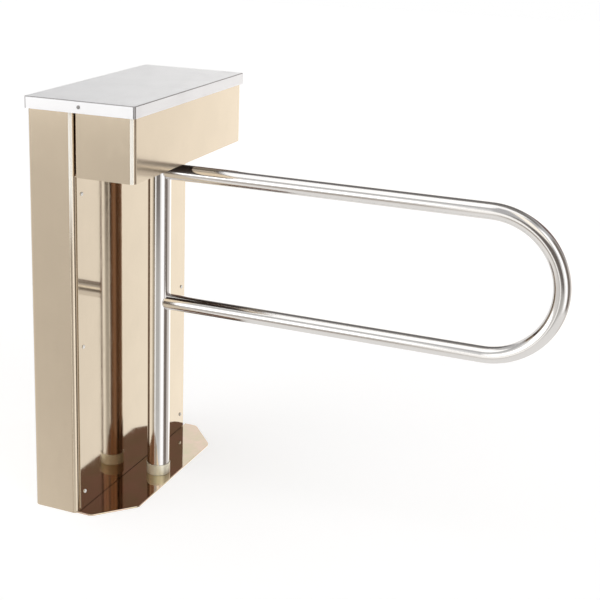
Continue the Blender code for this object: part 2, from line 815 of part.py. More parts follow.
def build_counter():
    """The slotted disc on the spindle and the light barrier that reads it."""
    disc = add_object("flag_disc", ring(BORE_R, FLAG_R, *FLAG_Z, 32), STEEL, GATE)
    for i in range(6):
        window = block(0.036, 0.0425, -0.0035, 0.0035, 0.90, 0.92)
        cut(disc, window, turn=math.radians(100 + 16 * i))

    fork = [
        (-0.0782, 0.9065), (-0.0380, 0.9065), (-0.0380, 0.9090), (-0.0500, 0.9090),
        (-0.0500, 0.9145), (-0.0380, 0.9145), (-0.0380, 0.9200), (-0.0782, 0.9200),
    ]
    add_object("counting_sensor", prism(fork, -0.007, 0.007, "XZ"), BLACK)
    base = MECH_TOP + GAP
    bracket = [
        (-0.0785, base), (-0.0785, 0.9180), (-0.0810, 0.9180), (-0.0810, base + 0.0025),
        (-0.1050, base + 0.0025), (-0.1050, base),
    ]
    add_object("sensor_bracket", prism(bracket, -0.010, 0.010, "XZ"), STEEL)


def build_night_lock():
    """A spring-return solenoid whose bolt drops into the disc and holds the arm."""
    disc = add_object("lock_disc", ring(BORE_R, LOCK_DISC_R, *LOCK_DISC_Z, 28), STEEL, GATE)
    join(disc, ring(BORE_R, 0.0180, 0.9126, 0.9200, 28))
    for turn in (0, 90):
        notch = block(0.026, 0.040, -0.0045, 0.0045, 0.90, 0.94)
        cut(disc, notch, turn=math.radians(turn))

    centre_z = sum(LOCK_DISC_Z) / 2
    axis = add_axis("lock_bolt_axis", (0, 0.036, centre_z))
    bolt = add_object(
        "lock_bolt",
        prism([(-0.0035, 0.0), (0.0035, 0.0), (0.0035, 0.030), (-0.0035, 0.030)], -0.003, 0.003),
        SATIN,
        axis,
    )
    join(bolt, turned_over(rod(0.0042, 0.028, 0.070, 12), ALONG_Y))

    base = MECH_TOP + GAP
    solenoid = add_object(
        "lock_solenoid", block(-0.016, 0.016, 0.080, 0.126, 0.9040, 0.9400), BLACK
    )
    join(solenoid, block(-0.016, 0.016, 0.090, 0.116, base, 0.9100))
    cut(solenoid, turned_over(rod(0.0048, 0.070, 0.120, 12), ALONG_Y), (0, 0, centre_z))

    nut = add_object("spindle_nut", prism(circle(0.0170, 6), *NUT_Z), STEEL, GATE)
    cut(nut, rod(0.0103, 0.92, 0.95, 16))


# --- electrics in the column --------------------------------------------------------------

def build_electrics():
    face = UPRIGHT_X + UPRIGHT_HALF + GAP
    add_object("board_carrier", block(face, face + 0.0015, -0.205, 0.205, 0.300, 0.640), STEEL)

    stand = face + 0.0015 + GAP
    board_x = stand + 0.008
    board = add_object(
        "control_board",
        block(board_x, board_x + 0.0016, -0.090, 0.090, 0.470, 0.610),
        BOARD,
    )
    for y in (-0.080, 0.080):
        for z in (0.480, 0.600):
            post = turned_over(rod(0.003, stand, board_x + 0.0010, 10), ALONG_X)
            join(board, post, (0, y, z))
    parts = (
        (-0.030, 0.010, 0.520, 0.560, 0.004),
        (0.030, 0.070, 0.580, 0.605, 0.012),
        (-0.075, -0.045, 0.480, 0.505, 0.018),
    )
    for y0, y1, z0, z1, tall in parts:
        join(board, block(board_x + 0.001, board_x + 0.0016 + tall, y0, y1, z0, z1))

    supply = add_object(
        "power_supply", block(stand, stand + 0.032, -0.150, -0.030, 0.320, 0.420), SATIN
    )
    for i in range(5):
        y = -0.135 + 0.022 * i
        cut(supply, block(stand + 0.026, stand + 0.040, y, y + 0.006, 0.335, 0.405))

    strip = add_object(
        "terminal_block", block(stand, stand + 0.022, 0.020, 0.140, 0.350, 0.378), NYLON
    )
    for i in range(6):
        y = 0.0275 + 0.019 * i
        cut(strip, block(stand + 0.012, stand + 0.030, y, y + 0.010, 0.356, 0.372))

    x, y = CABLE_HOLE
    gland = [
        (0.0070, 0.0006), (0.0120, 0.0006), (0.0120, PLATE_T + GAP), (0.0160, PLATE_T + GAP),
        (0.0160, 0.0080), (0.0125, 0.0110), (0.0110, 0.0190), (0.0070, 0.0190),
    ]
    add_object("cable_gland", revolve(gland, 16), BLACK, at=(x, y, 0))


GATE = add_axis("gate_axis", (0, 0, 0))
build_floor_plate()
build_column()
build_column_frame()
build_anchors()
build_head()
build_lid()
build_floor_bearing()
build_gate()
build_upper_bearing()
build_return_spring()
build_stops()
build_damper()
build_counter()
build_night_lock()
build_electrics()
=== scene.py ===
"""The looks of a single-arm swing turnstile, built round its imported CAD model.

Metres, +Z up. The gate turns about the Z axis, the closed arm points along +X, and the
cabinet's long side runs along Y. Places and sizes are read from the CAD nodes' boxes.
"""

import json
import math

import bmesh
import bpy
from mathutils import Matrix, Vector

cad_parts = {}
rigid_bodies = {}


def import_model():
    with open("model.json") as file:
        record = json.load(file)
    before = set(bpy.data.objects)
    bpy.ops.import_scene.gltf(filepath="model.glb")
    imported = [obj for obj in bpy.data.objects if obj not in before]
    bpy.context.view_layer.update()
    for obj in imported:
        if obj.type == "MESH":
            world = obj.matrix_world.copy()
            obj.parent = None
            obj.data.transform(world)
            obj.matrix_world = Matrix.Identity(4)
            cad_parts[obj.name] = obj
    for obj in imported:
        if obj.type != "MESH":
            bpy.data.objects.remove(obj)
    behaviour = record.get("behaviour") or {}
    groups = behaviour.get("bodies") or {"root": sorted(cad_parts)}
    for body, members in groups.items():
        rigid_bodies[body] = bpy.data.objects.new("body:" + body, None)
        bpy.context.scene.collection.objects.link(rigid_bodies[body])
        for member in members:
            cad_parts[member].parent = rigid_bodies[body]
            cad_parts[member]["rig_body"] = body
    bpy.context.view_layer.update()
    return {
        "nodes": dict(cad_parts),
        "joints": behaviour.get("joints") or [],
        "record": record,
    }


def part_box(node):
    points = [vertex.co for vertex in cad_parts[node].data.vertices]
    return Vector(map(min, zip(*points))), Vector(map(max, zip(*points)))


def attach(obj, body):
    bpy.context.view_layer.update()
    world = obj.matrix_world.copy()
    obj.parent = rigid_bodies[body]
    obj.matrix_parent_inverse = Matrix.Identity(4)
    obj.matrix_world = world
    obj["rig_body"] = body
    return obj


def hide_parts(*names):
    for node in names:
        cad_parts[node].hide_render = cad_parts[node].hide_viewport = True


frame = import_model()
NODES = frame["nodes"]
SLOTS = {part["node"]: part["material_slot"] for part in frame["record"]["subparts"]}
SCENE = bpy.context.scene

SHEET = 0.0015          # stainless sheet of the covers
COVER_BEND = 0.012      # outer radius of the upright folds of the column and the head
LID_BEND = 0.005        # and of the lid's corners
BEND_STEPS = 14
FLANGE = 0.045          # the column's folded edges, which carry the access panel
HEAD_RETURN = 0.018     # the head's folded edges beside the column
TOP_BEND = 0.002        # the lid's fold from its top into its rim
POST_WALL = 0.002
ARM_WALL = 0.0015
GAP = 0.0003            # between two pieces that touch
ROUND = 128             # sides of a large round piece
THROUGH = 0.01          # how far a cutter reaches past the piece it cuts
SHEET_EDGE = 0.00025    # broken edge of the folded sheet pieces
FINE_EDGE = 0.0001      # broken edge of toothed and slotted pieces inside
INNER_EDGE = 0.0003     # and of the other pieces inside
SHARP = math.radians(35)        # a turn steeper than this shows as an edge


# --- camera -------------------------------------------------------------------------------

def place_camera():
    """A short telephoto lens, in front of the cabinet on the passage side."""
    data = bpy.data.cameras.new("camera")
    camera = bpy.data.objects.new("camera", data)
    SCENE.collection.objects.link(camera)
    heading = math.radians(23.956)
    down = math.radians(15.151)
    roll = math.radians(1.173)
    camera.location = (1.4009, -2.6952, 1.4977)
    ahead = Vector((
        -math.sin(heading) * math.cos(down),
        math.cos(heading) * math.cos(down),
        -math.sin(down),
    ))
    right = Vector((math.cos(heading), math.sin(heading), 0))
    up = right.cross(ahead)
    rolled_right = right * math.cos(roll) + up * math.sin(roll)
    rolled_up = up * math.cos(roll) - right * math.sin(roll)
    axes = Matrix((rolled_right, rolled_up, -ahead)).transposed()
    camera.rotation_euler = axes.to_euler()
    data.lens = 76.66
    data.sensor_width = 36
    data.shift_x = 0.1083
    data.shift_y = -0.13
    data.clip_start = 0.05
    SCENE.camera = camera


# --- shader node helpers ------------------------------------------------------------------

class Graph:
    """Short names for the shader nodes used below."""

    def __init__(self, tree):
        self.tree = tree

    def node(self, kind, inputs=None, **settings):
        made = self.tree.nodes.new(kind)
        for key, value in settings.items():
            setattr(made, key, value)
        for key, value in (inputs or {}).items():
            self.set(made.inputs[key], value)
        return made

    def set(self, socket, value):
        if isinstance(value, bpy.types.NodeSocket):
            self.tree.links.new(value, socket)
        elif isinstance(value, (tuple, list)) and socket.type == "RGBA" and len(value) == 3:
            socket.default_value = (*value, 1)
        else:
            socket.default_value = value

    def math(self, operation, *values):
        made = self.node("ShaderNodeMath", operation=operation)
        for socket, value in zip(made.inputs, values):
            self.set(socket, value)
        return made.outputs[0]

    def ramp(self, value, low, high, out_low=0.0, out_high=1.0, smooth=False):
        kind = "SMOOTHSTEP" if smooth else "LINEAR"
        made = self.node("ShaderNodeMapRange", interpolation_type=kind, clamp=True)
        for name, item in (
            ("Value", value), ("From Min", low), ("From Max", high),
            ("To Min", out_low), ("To Max", out_high),
        ):
            self.set(made.inputs[name], item)
        return made.outputs[0]

    def mix(self, factor, first, second, blend="MIX"):
        made = self.node("ShaderNodeMix", data_type="RGBA", blend_type=blend)
        self.set(made.inputs[0], factor)
        self.set(made.inputs[6], first)
        self.set(made.inputs[7], second)
        return made.outputs[2]

    def place(self):
        return self.node("ShaderNodeTexCoord").outputs["Object"]

    def stretched(self, scale, turn=(0, 0, 0)):
        """The object's coordinates, turned and then scaled along each axis."""
        made = self.node("ShaderNodeMapping", {"Vector": self.place()})
        made.inputs["Scale"].default_value = scale
        made.inputs["Rotation"].default_value = [math.radians(angle) for angle in turn]
        return made.outputs["Vector"]

    def noise(self, vector, scale, detail=3.0, roughness=0.5):
        made = self.node("ShaderNodeTexNoise", {"Vector": vector})
        made.inputs["Scale"].default_value = scale
        made.inputs["Detail"].default_value = detail
        made.inputs["Roughness"].default_value = roughness
        return made.outputs[0]

    def cells(self, vector, scale, feature="F1", distance="EUCLIDEAN"):
        made = self.node(
            "ShaderNodeTexVoronoi", {"Vector": vector}, feature=feature, distance=distance
        )
        made.inputs["Scale"].default_value = scale
        return made

    def bump(self, height, distance, under=None):
        made = self.node("ShaderNodeBump", {"Height": height})
        made.inputs["Distance"].default_value = distance
        if under is not None:
            self.set(made.inputs["Normal"], under)
        return made.outputs[0]


def new_material(name, colour, roughness, metallic):
    """A material whose flat colour is what a viewer without nodes would show."""
    mat = bpy.data.materials.new(name)
    mat.use_nodes = True
    mat.diffuse_color = (*colour, 1)
    shader = mat.node_tree.nodes["Principled BSDF"]
    shader.inputs["Base Color"].default_value = (*colour, 1)
    shader.inputs["Roughness"].default_value = roughness
    shader.inputs["Metallic"].default_value = metallic
    return mat, Graph(mat.node_tree), shader


def shade(colour, factor):
    """A colour made darker or lighter, and kept at most white."""
    return tuple(min(1.0, channel * factor) for channel in colour)


# --- materials ----------------------------------------------------------------------------

def polished_metal(
    name, colour, roughness, grain, depth, handled=0.03, wave=0.0, scuffs=0.0, stain=None
):
    """Ground or polished metal.

    grain is the lines per metre along X, Y and Z, so the lines run along its lowest axis.
    depth is their height, handled the roughness that wiping and fingers add in patches,
    wave the height of slow unevenness of the sheet, scuffs the share of fine scratches, and
    stain a second colour that drifts over the first.
    """
    mat, graph, shader = new_material(name, colour, roughness, 1.0)
    lines = graph.noise(graph.stretched(grain), 1.0, 4.0, 0.65)
    patches = graph.noise(graph.place(), 7.0, 4.0, 0.6)
    haze = graph.noise(graph.stretched((31, 31, 19)), 1.0, 3.0, 0.7)

    tone = graph.mix(graph.ramp(patches, 0.3, 0.7), shade(colour, 0.965), shade(colour, 1.02))
    if stain:
        drift = graph.noise(graph.place(), 11.0, 5.0, 0.6)
        tone = graph.mix(graph.ramp(drift, 0.38, 0.62), tone, stain)
    tone = graph.mix(graph.ramp(lines, 0.35, 0.75, 0.0, 0.35), tone, shade(colour, 0.90))

    rough = graph.ramp(lines, 0.3, 0.7, roughness * 0.82, roughness * 1.22)
    wiped = graph.ramp(haze, 0.48, 0.72, 0.0, handled, smooth=True)
    rough = graph.math("ADD", rough, wiped)

    normal = graph.bump(lines, depth)
    if wave:
        normal = graph.bump(graph.noise(graph.place(), 9.0, 1.0), wave, normal)
    if scuffs:
        marks = None
        for angle in (18, 71, 128):
            streaks = graph.noise(graph.stretched((900, 14, 14), (0, 0, angle)), 1.0, 2.0)
            band = graph.ramp(streaks, 0.70, 0.74)
            marks = band if marks is None else graph.math("MAXIMUM", marks, band)
        worn = graph.math("MULTIPLY", marks, graph.ramp(patches, 0.45, 0.65, 0.0, scuffs))
        rough = graph.math("ADD", rough, graph.math("MULTIPLY", worn, 0.25))
        tone = graph.mix(worn, tone, shade(colour, 0.8))
    graph.set(shader.inputs["Base Color"], tone)
    graph.set(shader.inputs["Roughness"], rough)
    graph.set(shader.inputs["Normal"], normal)
    return mat


def turned_metal(name, colour, roughness, ridges=2600, metallic=1.0):
    """Metal turned on a lathe: fine ridges along Z, with a stain here and there."""
    mat, graph, shader = new_material(name, colour, roughness, metallic)
    ridge = graph.noise(graph.stretched((40, 40, ridges)), 1.0, 3.0, 0.6)
    stain = graph.noise(graph.place(), 45.0, 4.0, 0.6)
    tone = graph.mix(graph.ramp(stain, 0.35, 0.7), shade(colour, 1.0), shade(colour, 0.86))
    tone = graph.mix(graph.ramp(ridge, 0.4, 0.8, 0.0, 0.4), tone, shade(colour, 0.88))
    graph.set(shader.inputs["Base Color"], tone)
    rough = graph.ramp(ridge, 0.3, 0.7, roughness * 0.75, roughness * 1.3)
    rough = graph.math("ADD", rough, graph.ramp(stain, 0.5, 0.75, 0.0, 0.08))
    graph.set(shader.inputs["Roughness"], rough)
    graph.set(shader.inputs["Normal"], graph.bump(ridge, 0.000004))
    return mat


def plated_steel(name, colour, roughness):
    """Zinc-plated steel: a faint spangle, and dull patches darkened with dirt."""
    mat, graph, shader = new_material(name, colour, roughness, 1.0)
    spangle = graph.cells(graph.place(), 260).outputs["Color"]
    level = graph.node("ShaderNodeRGBToBW", {"Color": spangle}).outputs[0]
    dull = graph.noise(graph.place(), 26.0, 5.0, 0.65)
    drawn = graph.noise(graph.stretched((90, 90, 1400)), 1.0, 2.0)
    tone = graph.mix(graph.ramp(level, 0.2, 0.8), shade(colour, 0.90), shade(colour, 1.08))
    tone = graph.mix(graph.ramp(dull, 0.5, 0.75, 0.0, 0.5), tone, shade(colour, 0.62))
    graph.set(shader.inputs["Base Color"], tone)
    rough = graph.ramp(dull, 0.3, 0.75, roughness * 0.8, roughness * 1.5)
    graph.set(shader.inputs["Roughness"], rough)
    normal = graph.bump(drawn, 0.000006)
    graph.set(shader.inputs["Normal"], graph.bump(level, 0.00001, normal))
    return mat


def painted(name, colour, roughness, peel=420):
    """Sprayed paint with orange peel and a little dust."""
    mat, graph, shader = new_material(name, colour, roughness, 0.0)
    skin = graph.noise(graph.place(), peel, 2.0)
    dust = graph.noise(graph.place(), 38.0, 5.0, 0.7)
    tone = graph.mix(graph.ramp(dust, 0.5, 0.8, 0.0, 0.5), colour, shade(colour, 2.2))
    graph.set(shader.inputs["Base Color"], tone)
    rough = graph.ramp(dust, 0.35, 0.75, roughness * 0.8, roughness * 1.3)
    graph.set(shader.inputs["Roughness"], rough)
    graph.set(shader.inputs["Normal"], graph.bump(skin, 0.00004))
    return mat


def moulded(name, colour, roughness, texture, height, sheen=0.0):
    """Moulded plastic or rubber, with the fine texture of its mould."""
    mat, graph, shader = new_material(name, colour, roughness, 0.0)
    grain = graph.cells(graph.place(), texture).outputs["Distance"]
    flow = graph.noise(graph.stretched((30, 30, 90)), 1.0, 4.0)
    tone = graph.mix(graph.ramp(flow, 0.35, 0.7), shade(colour, 0.85), shade(colour, 1.15))
    graph.set(shader.inputs["Base Color"], tone)
    rough = graph.ramp(flow, 0.3, 0.7, roughness * 0.85, roughness * 1.15)
    graph.set(shader.inputs["Roughness"], rough)
    graph.set(shader.inputs["Normal"], graph.bump(grain, height))
    shader.inputs["Sheen Weight"].default_value = sheen
    return mat


def printed_board(name):
    """Green solder mask over copper tracks, with tinned pads."""
    mask = (0.02, 0.16, 0.07)
    track = (0.05, 0.30, 0.12)
    tin = (0.75, 0.76, 0.74)
    mat, graph, shader = new_material(name, mask, 0.35, 0.0)
    flat = graph.stretched((0, 1, 1))
    lanes = graph.cells(flat, 130, "DISTANCE_TO_EDGE").outputs["Distance"]
    routes = graph.cells(flat, 95, "F1", "MANHATTAN").outputs["Distance"]
    copper = graph.math(
        "MAXIMUM", graph.ramp(lanes, 0.05, 0.07, 1.0, 0.0), graph.ramp(routes, 0.52, 0.54)
    )
    pads = graph.ramp(graph.cells(flat, 210).outputs["Distance"], 0.16, 0.18, 1.0, 0.0)
    tone = graph.mix(copper, mask, track)
    graph.set(shader.inputs["Base Color"], graph.mix(pads, tone, tin))
    graph.set(shader.inputs["Metallic"], graph.math("MULTIPLY", pads, 0.9))
    graph.set(shader.inputs["Roughness"], graph.ramp(pads, 0.0, 1.0, 0.32, 0.22))
    height = graph.math("ADD", copper, pads)
    graph.set(shader.inputs["Normal"], graph.bump(height, 0.00003))
    return mat


def painted_fold_highlight(name, colour, bright, low, high):
    """Champagne sheet with a painted highlight that turns bright and milky up the fold, from one
    height to another.
    """
    mat, graph, shader = new_material(name, colour, 0.3, 1.0)
    upright = graph.node("ShaderNodeSeparateXYZ", {0: graph.place()}).outputs[2]
    fibres = graph.noise(graph.stretched((700, 700, 20)), 1.0, 3.0)
    share = graph.ramp(upright, low, high, smooth=True)
    tone = graph.mix(share, colour, bright)
    tone = graph.mix(graph.ramp(fibres, 0.4, 0.7, 0.0, 0.3), tone, shade(colour, 0.95))
    graph.set(shader.inputs["Base Color"], tone)
    graph.set(shader.inputs["Metallic"], graph.ramp(share, 0.0, 1.0, 1.0, 0.1))
    graph.set(shader.inputs["Roughness"], graph.ramp(share, 0.0, 1.0, 0.2, 0.42))
    graph.set(shader.inputs["Normal"], graph.bump(fibres, 0.000003))
    return mat


CHAMPAGNE = (0.74, 0.63, 0.485)
STEEL = (0.84, 0.82, 0.80)
UPRIGHT = (2400, 2400, 9)       # grain that runs up the sheet
MATERIALS = {
    "champagne_steel": polished_metal(
        "champagne_steel", CHAMPAGNE, 0.13, UPRIGHT, 0.0000012, 0.03, 0.00005
    ),
    "mirror_panel": polished_metal(
        "mirror_panel", (0.80, 0.69, 0.535), 0.075, (1500, 1500, 6), 0.0000004, 0.03, 0.00010
    ),
    "mirror_plate": polished_metal(
        "mirror_plate", (0.80, 0.62, 0.50), 0.045, (1500, 8, 1500), 0.0000004, 0.04, 0.0001, 1.0,
        (0.68, 0.62, 0.43),
    ),
    "lid_steel": polished_metal(
        "lid_steel", (0.90, 0.90, 0.91), 0.37, (2200, 10, 2200), 0.000004, 0.04
    ),
    "satin_tube": polished_metal(
        "satin_tube", STEEL, 0.12, (900, 900, 900), 0.0000006, 0.03
    ),
    "screw_steel": turned_metal("screw_steel", (1.0, 0.99, 0.95), 0.30, 2600, 0.0),
    "brass_collar": turned_metal("brass_collar", (1.0, 0.95, 0.78), 0.30, 2600, 0.45),
    # The head's underside is near-black brown: painted shade, standing in for the shade under the
    # head.
    "dark_underside": painted("dark_underside", (0.030, 0.020, 0.015), 0.45),
    "inner_steel": plated_steel("inner_steel", (0.62, 0.63, 0.64), 0.34),
    "spring_steel": turned_metal("spring_steel", (0.42, 0.42, 0.44), 0.32, 900),
    "bronze_bush": turned_metal("bronze_bush", (0.72, 0.50, 0.27), 0.30),
    "buffer_rubber": moulded("buffer_rubber", (0.022, 0.022, 0.022), 0.75, 1400, 0.00006, 0.2),
    "black_plastic": moulded("black_plastic", (0.035, 0.035, 0.037), 0.42, 2200, 0.00002),
    "nylon": moulded("nylon", (0.74, 0.72, 0.66), 0.45, 1800, 0.00001),
    "circuit_board": printed_board("circuit_board"),
}
# Painted highlight: the folds beside the passage get a bright, milky finish that fades out lower
# down.
FOLD_HIGHLIGHT = painted_fold_highlight("painted_fold_highlight", CHAMPAGNE, (1.0, 0.98, 0.90), 0.62, 0.84)
# Painted shade: the lid's folds and corners are dark grey, for the dark lines along its edges.
LID_FOLD_SHADE = polished_metal(
    "lid_fold_painted_shade", (0.46, 0.45, 0.45), 0.30, (2200, 10, 2200), 0.000004, 0.04
)
LOCK_STEEL = turned_metal("lock_steel", (0.34, 0.33, 0.32), 0.38)


# --- mesh helpers -------------------------------------------------------------------------

def arc(radius, start, end, steps, centre=(0, 0)):
    """Points along an arc, both ends included."""
    angles = [start + (end - start) * i / steps for i in range(steps + 1)]
    return [
        (centre[0] + radius * math.cos(a), centre[1] + radius * math.sin(a))
        for a in angles
    ]


def circle(radius, sides):
    """Points round a circle, each one once."""
    return arc(radius, 0, 2 * math.pi * (1 - 1 / sides), sides - 1)


def fillet(points, radius, steps, closed=False):
    """Rounds the corners of a polyline with arcs."""
    count = len(points)
    rounded = [] if closed else [points[0]]
    for i in range(0 if closed else 1, count if closed else count - 1):
        here = Vector(points[i])
        back = (Vector(points[i - 1]) - here).normalized()
        on = (Vector(points[(i + 1) % count]) - here).normalized()
        half = back.angle(on) / 2
        centre = here + (back + on).normalized() * radius / math.sin(half)
        first = here + back * radius / math.tan(half) - centre
        last = here + on * radius / math.tan(half) - centre
        sweep = math.atan2(first.cross(last), first.dot(last))
        start = math.atan2(first.y, first.x)
        rounded += arc(first.length, start, start + sweep, steps, centre)
    return rounded if closed else rounded + [points[-1]]


def folded(points):
    """The outline of sheet folded along a polyline, with the sheet on the line's left."""
    inner = []
    last = len(points) - 1
    for i, point in enumerate(points):
        here = Vector(point)
        sides = []
        if i > 0:
            sides.append((here - Vector(points[i - 1])).normalized())
        if i < last:
            sides.append((Vector(points[i + 1]) - here).normalized())
        lefts = [Vector((-side.y, side.x)) for side in sides]
        inner.append(tuple(here + sum(lefts, Vector((0, 0))) * SHEET))
    outer_line = fillet(points, COVER_BEND, BEND_STEPS)
    inner_line = fillet(inner, COVER_BEND - SHEET, BEND_STEPS)
    return outer_line + inner_line[::-1]


def loft(rings, closed=False, capped=True):
    """Skins rings of points that all have the same count."""
    bm = bmesh.new()
    layers = [[bm.verts.new(point) for point in ring] for ring in rings]
    pairs = list(zip(layers, layers[1:]))
    if closed:
        pairs.append((layers[-1], layers[0]))
    for first, second in pairs:
        for j in range(len(first)):
            k = (j + 1) % len(first)
            bm.faces.new((first[j], first[k], second[k], second[j]))
    if capped and not closed:
        bm.faces.new(layers[0])
        bm.faces.new(layers[-1])
    return bm


def prism(outline, low, high):
    """A flat outline drawn up from one height to another."""
    return loft([[(x, y, z) for x, y in outline] for z in (low, high)])


def block(x0, x1, y0, y1, z0, z1):
    """A box between two corners."""
    return prism([(x0, y0), (x1, y0), (x1, y1), (x0, y1)], z0, z1)


def revolve(profile, sides):
    """Turns a closed (radius, height) profile round Z. A point of radius 0 becomes a pole."""
    bm = bmesh.new()
    rings = []
    for radius, height in profile:
        if radius == 0:
            rings.append([bm.verts.new((0, 0, height))] * sides)
        else:
            rings.append([bm.verts.new((x, y, height)) for x, y in circle(radius, sides)])
    for i, ring in enumerate(rings):
        after = rings[(i + 1) % len(rings)]
        for j in range(sides):
            k = (j + 1) % sides
            corners = dict.fromkeys((ring[j], ring[k], after[k], after[j]))
            if len(corners) > 2:
                bm.faces.new(list(corners))
    return bm


def tube_rings(path, radius, sides):
    """Rings of points round a path that keeps to one plane or turns gently."""
    points = [Vector(p) for p in path]
    last = len(points) - 1
    normal = None
    rings = []
    for i, point in enumerate(points):
        ahead = (points[min(i + 1, last)] - points[max(i - 1, 0)]).normalized()
        if normal is None:
            normal = ahead.orthogonal().normalized()
        normal = (normal - ahead * normal.dot(ahead)).normalized()
        across = ahead.cross(normal)
        rings.append([point + normal * x + across * y for x, y in circle(radius, sides)])
    return rings


ALONG_X = Matrix.Rotation(math.radians(90), 4, "Y")     # a piece built up Z lies along +X
ALONG_Y = Matrix.Rotation(math.radians(-90), 4, "X")    # and along +Y


def turned_over(bm, matrix):
    """The same bmesh, moved or turned by a matrix."""
    bmesh.ops.transform(bm, matrix=matrix, verts=bm.verts)
    return bm


def make_object(name, bm, mat):
    """An object with one material, smooth but for its sharp edges."""
    bmesh.ops.recalc_face_normals(bm, faces=bm.faces)
    mesh = bpy.data.meshes.new(name)
    bm.to_mesh(mesh)
    bm.free()
    mesh.shade_smooth()
    mesh.set_sharp_from_angle(angle=SHARP)
    mesh.materials.append(mat)
    obj = bpy.data.objects.new(name, mesh)
    SCENE.collection.objects.link(obj)
    return obj


def show_copy(name, mesh):
    """One more object of a mesh that several pieces share."""
    obj = bpy.data.objects.new(name, mesh)
    SCENE.collection.objects.link(obj)
    return obj


def take_mesh(obj):
    """The mesh of an object that is no longer needed once its mesh is made."""
    mesh = obj.data
    bpy.data.objects.remove(obj)
    return mesh


def carve(obj, *cutters):
    """Cuts closed bmeshes out of an object and keeps the result as its mesh."""
    helpers = []
    for bm in cutters:
        helper = make_object("cutter", bm, obj.data.materials[0])
        modifier = obj.modifiers.new("cut", "BOOLEAN")
        modifier.solver = "EXACT"
        modifier.object = helper
        helpers.append(helper)
    bpy.context.view_layer.update()
    result = obj.evaluated_get(bpy.context.evaluated_depsgraph_get())
    mesh = bpy.data.meshes.new_from_object(result)
    obj.modifiers.clear()
    obj.data = mesh
    mesh.shade_smooth()
    mesh.set_sharp_from_angle(angle=SHARP)
    for helper in helpers:
        bpy.data.objects.remove(helper)


def soften(obj, width, segments=2):
    """Breaks the sharp edges of a piece, and keeps its large faces flat to the eye."""
    if width:
        bevel = obj.modifiers.new("broken_edges", "BEVEL")
        bevel.width = width
        bevel.segments = segments
        bevel.limit_method = "ANGLE"
        bevel.angle_limit = math.radians(40)
    normals = obj.modifiers.new("flat_faces", "WEIGHTED_NORMAL")
    normals.weight = 100
    normals.keep_sharp = not width


def stand_for(node, obj, edge=0.0):
    """obj shows in place of a CAD node, on that node's body."""
    soften(obj, edge)
    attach(obj, NODES[node]["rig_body"])
    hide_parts(node)


def add_to(node, obj, edge=0.0):
    """obj is one more piece on a CAD node's body."""
    soften(obj, edge)
    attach(obj, NODES[node]["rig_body"])


# --- cabinet ------------------------------------------------------------------------------

def build_column():
    """The folded column, cut out at its foot for the floor plate and drilled for the screws."""
    low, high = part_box("column_shell")
    outline = folded([
        (high.x, high.y - FLANGE), (high.x, high.y), (low.x, high.y),
        (low.x, low.y), (high.x, low.y), (high.x, low.y + FLANGE),
    ])
    mat = MATERIALS["champagne_steel"]
    shell = make_object("column_shell_look", prism(outline, low.z, high.z), mat)
    plate_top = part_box("floor_plate")[1].z + 2 * GAP
    inner = high.x - 0.8 * COVER_BEND
    slot_front = low.y + 0.0028     # just outside the floor plate's front edge
    slot_back = high.y - 0.0048     # and its back edge
    right = high.x + THROUGH
    slots = [
        block(inner, right, slot_front, low.y + 2 * FLANGE, -THROUGH, plate_top),
        block(inner, right, high.y - 2 * FLANGE, slot_back, -THROUGH, plate_top),
    ]
    screw_hole = 0.0024
    for number in range(1, 7):
        start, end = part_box(f"panel_screw_{number}")
        hole = turned_over(revolve(rod_profile(screw_hole, -THROUGH, THROUGH), 24), ALONG_X)
        middle = (start + end) / 2
        slots.append(turned_over(hole, Matrix.Translation((high.x, middle.y, middle.z))))
    carve(shell, *slots)
    paint_fold_highlights(shell, high.x - COVER_BEND)
    stand_for("column_shell", shell, SHEET_EDGE)


def rod_profile(radius, low, high):
    """The profile of a plain round rod, for revolve."""
    return [(0, low), (radius, low), (radius, high), (0, high)]


def paint_fold_highlights(shell, start):
    """Gives the folds beside the passage a painted highlight."""
    shell.data.materials.append(FOLD_HIGHLIGHT)
    for face in shell.data.polygons:
        turned = math.degrees(math.atan2(face.normal.x, abs(face.normal.y)))
        if face.center.x > start and 6 < turned < 46:
            face.material_index = 1


def build_head():
    """The folded walls of the head, notched at the top for the lid's lock."""
    low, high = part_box("head_shell")
    outline = folded([
        (low.x, low.y + HEAD_RETURN), (low.x, low.y), (high.x, low.y),
        (high.x, high.y), (low.x, high.y), (low.x, high.y - HEAD_RETURN),
    ])
    mat = MATERIALS["champagne_steel"]
    shell = make_object("head_shell_look", prism(outline, low.z, high.z), mat)
    half = 0.0045       # of the notch's width
    lock_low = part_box("lid_lock")[0].z
    x = lid_lock_axis().x
    front = low.y
    top = high.z + THROUGH
    carve(shell, block(x - half, x + half, front - THROUGH, front + THROUGH, lock_low, top))
    paint_fold_highlights(shell, high.x - COVER_BEND)
    stand_for("head_shell", shell, SHEET_EDGE)


def lid_lock_axis():
    """The point that the lid's lock turns about, in the plane of the rim."""
    joint = next(joint for joint in frame["joints"] if joint["name"] == "lid_lock_turn")
    return Vector(joint["pos_m"])


